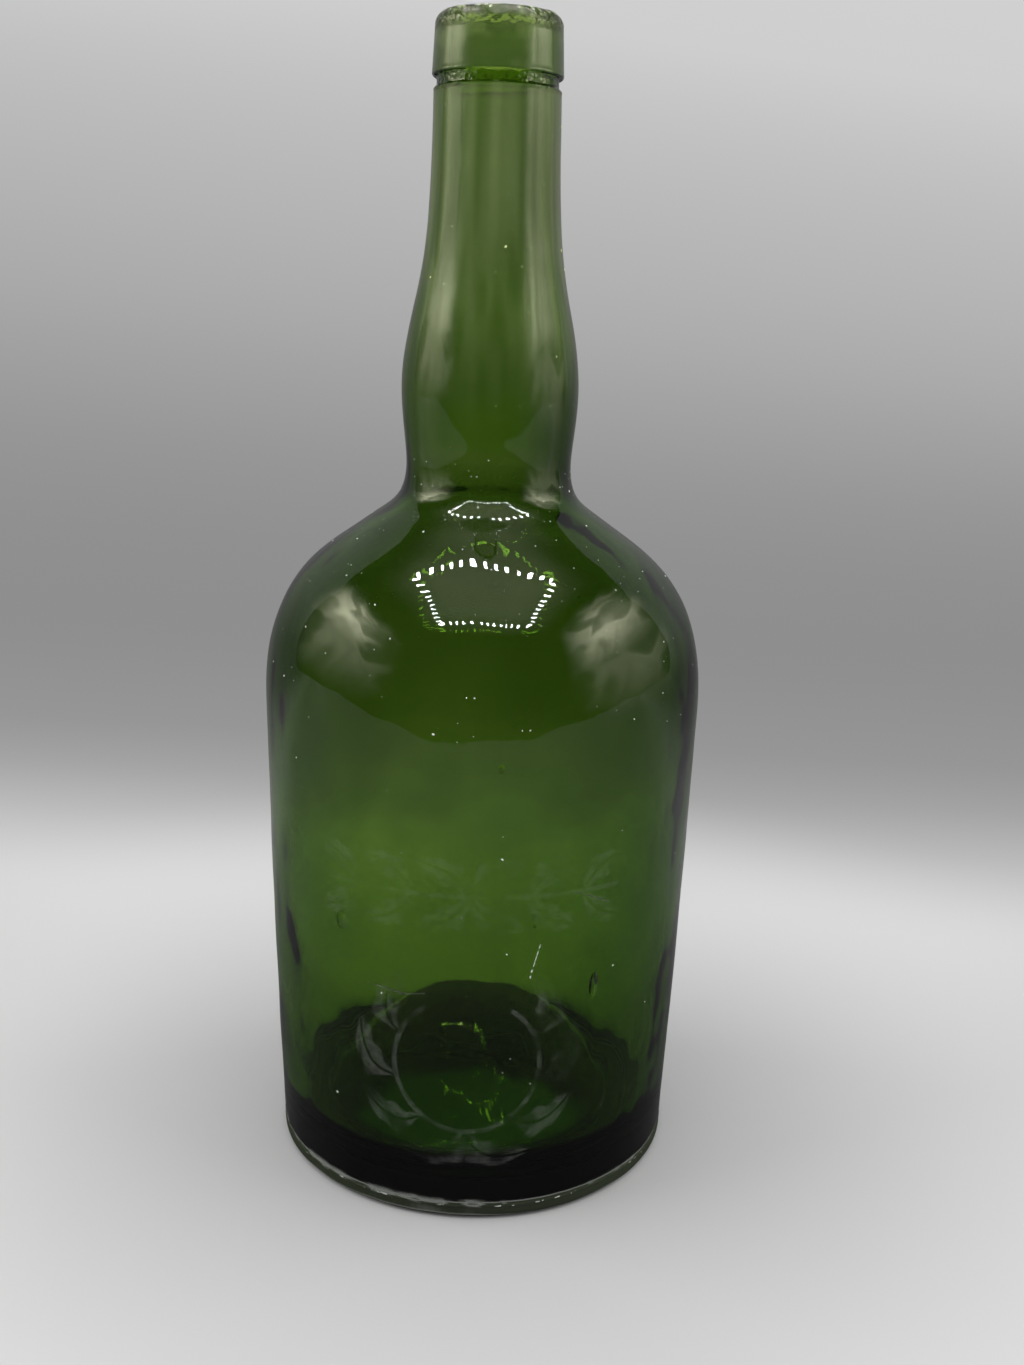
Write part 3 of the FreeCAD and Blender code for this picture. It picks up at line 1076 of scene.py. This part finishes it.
def glowPanel(name, place, aim, width, height, strength, softness, folds):
    clearSelection()
    bpy.ops.mesh.primitive_plane_add(size=1, location=(0, 0, 0))
    panel = bpy.context.object
    panel.scale = (width, height, 1)
    panel.rotation_mode = "QUATERNION"
    panel.rotation_quaternion = (Vector(aim) - Vector(place)).to_track_quat("-Z", "Y")
    panel.location = place
    settle(panel, name)
    panel.data.materials.append(glowMaterial(name, strength, softness, folds))
    onlyReflected(panel)


lampFrame = {
    "height": 0.58,
    "left": -0.20, "right": 0.20,
    "near": -0.385, "far": 0.030,
    "bars": 13, "sideBars": 10,
    "through": 0.4,         # how much of their light is seen through the glass
    "barLength": 0.026, "barWidth": 0.0095,
    "sideOff": 0.011, "cornerOff": 0.012,  # how far the side bars stand out
    "strength": 90.0,
}

# cards that only the gloss of the glass shows:
# place, what it faces, width, height, light, softness, folds of cloth
glowCards = {
    "leftGlow": ((-0.5, -0.06, 0.44), (0, -0.06, 0.44), 0.64, 0.29, 4.8, 0.15, True),
    "leftWall": ((-0.52, -0.12, 0.36), (0, -0.12, 0.36), 0.90, 0.60, 1.45, 0.2, True),
    "rightGlow": ((0.5, -0.10, 0.48), (0, -0.10, 0.48), 0.80, 0.46, 4.2, 0.1, True),
    "rightWall": ((0.52, -0.12, 0.30), (0, -0.12, 0.30), 0.90, 0.60, 1.1, 0.2, True),
    "topGlow": ((0, -0.16, 0.62), (0, -0.16, 0), 0.80, 0.80, 0.9, 0.3, False),
}

# soft boxes: place, width, height, watts
softBoxes = {
    "leftBox": ((-0.5, -0.05, 0.33), 0.5, 0.25, 1.6),
    "rightBox": ((0.5, -0.05, 0.33), 0.6, 0.4, 1.6),
    "topBox": ((0, -0.05, 0.75), 0.6, 0.6, 1.5),
}


def barLampFrame():
    # strip of small bright bars round the top opening of the light tent, each bar across the strip
    f = lampFrame
    clearSelection()
    bpy.ops.mesh.primitive_plane_add(size=1, location=(0, 0, 0))
    bar = bpy.context.object
    places = []
    for i in range(f["bars"]):
        across = f["left"] + (f["right"] - f["left"]) * i / (f["bars"] - 1)
        places += [(across, f["far"], True), (across, f["near"], True)]
    for i in range(f["sideBars"]):
        along = f["near"] + (f["far"] - f["near"]) * (i + 0.5) / f["sideBars"]
        places += [(f["left"] - f["sideOff"], along, False), (f["right"] + f["sideOff"], along, False)]
    for x, y, lengthwise in places:
        copy = bpy.data.objects.new("bar", bar.data.copy())
        studio.collection.objects.link(copy)
        copy.location = (x, y, f["height"])
        copy.scale = (f["barWidth"], f["barLength"], 1) if lengthwise else (f["barLength"], f["barWidth"], 1)
        copy.select_set(True)
    bar.location = (f["left"] - f["sideOff"], f["near"] - f["cornerOff"], f["height"])
    bar.scale = (f["barLength"], f["barWidth"], 1)
    bar.select_set(True)
    bpy.context.view_layer.objects.active = bar
    bpy.ops.object.join()
    settle(bar, "lampFrame")
    material = glowMaterial("lampBars", f["strength"])
    tree = material.node_tree
    rays = tree.nodes.new("ShaderNodeLightPath")
    light = mathNode(tree, "MULTIPLY_ADD", rays.outputs["Is Transmission Ray"],
                     f["strength"] * (f["through"] - 1), f["strength"])
    link(tree, light, tree.nodes["Emission"].inputs["Strength"])
    bar.data.materials.append(material)
    onlyReflected(bar, through=True)


def softLight(name, place, aim, width, height, watts):
    data = bpy.data.lights.new(name, "AREA")
    data.shape = "RECTANGLE"
    data.size = width
    data.size_y = height
    data.energy = watts
    lamp = bpy.data.objects.new(name, data)
    studio.collection.objects.link(lamp)
    lamp.location = place
    lamp.rotation_mode = "QUATERNION"
    lamp.rotation_quaternion = (Vector(aim) - Vector(place)).to_track_quat("-Z", "Y")
    lamp.visible_camera = False
    lamp.visible_glossy = False
    lamp.visible_transmission = False
    return lamp


dimRoom = {
    "lampsAim": (0, 0, 0.1),
    "grey": 0.5,
    "mirroredLoss": 0.95,   # the room is nearly black in the gloss of the glass
}


def lightStudio():
    for name, (place, width, height, watts) in softBoxes.items():
        softLight(name, place, dimRoom["lampsAim"], width, height, watts)
    for name, card in glowCards.items():
        glowPanel(name, *card)
    barLampFrame()
    world = bpy.data.worlds.new("room")
    world.use_nodes = True
    tree = world.node_tree
    mirrored = mirroredRays(tree)[1]
    room = tree.nodes["Background"]
    room.inputs["Color"].default_value = (*[dimRoom["grey"]] * 3, 1)
    light = mathNode(tree, "MULTIPLY_ADD", mirrored, -dimRoom["mirroredLoss"], 1.0)
    link(tree, light, room.inputs["Strength"])
    studio.world = world
    print("lights placed")


placeCamera()
bottle = settle(blowGlass(), "greenBottle")
unevenGlass(bottle)
dustGrains(bottle)
bottle.data.materials.append(greenGlass())
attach(bottle, "root")
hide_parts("bottle")
paleSweep()
lightStudio()
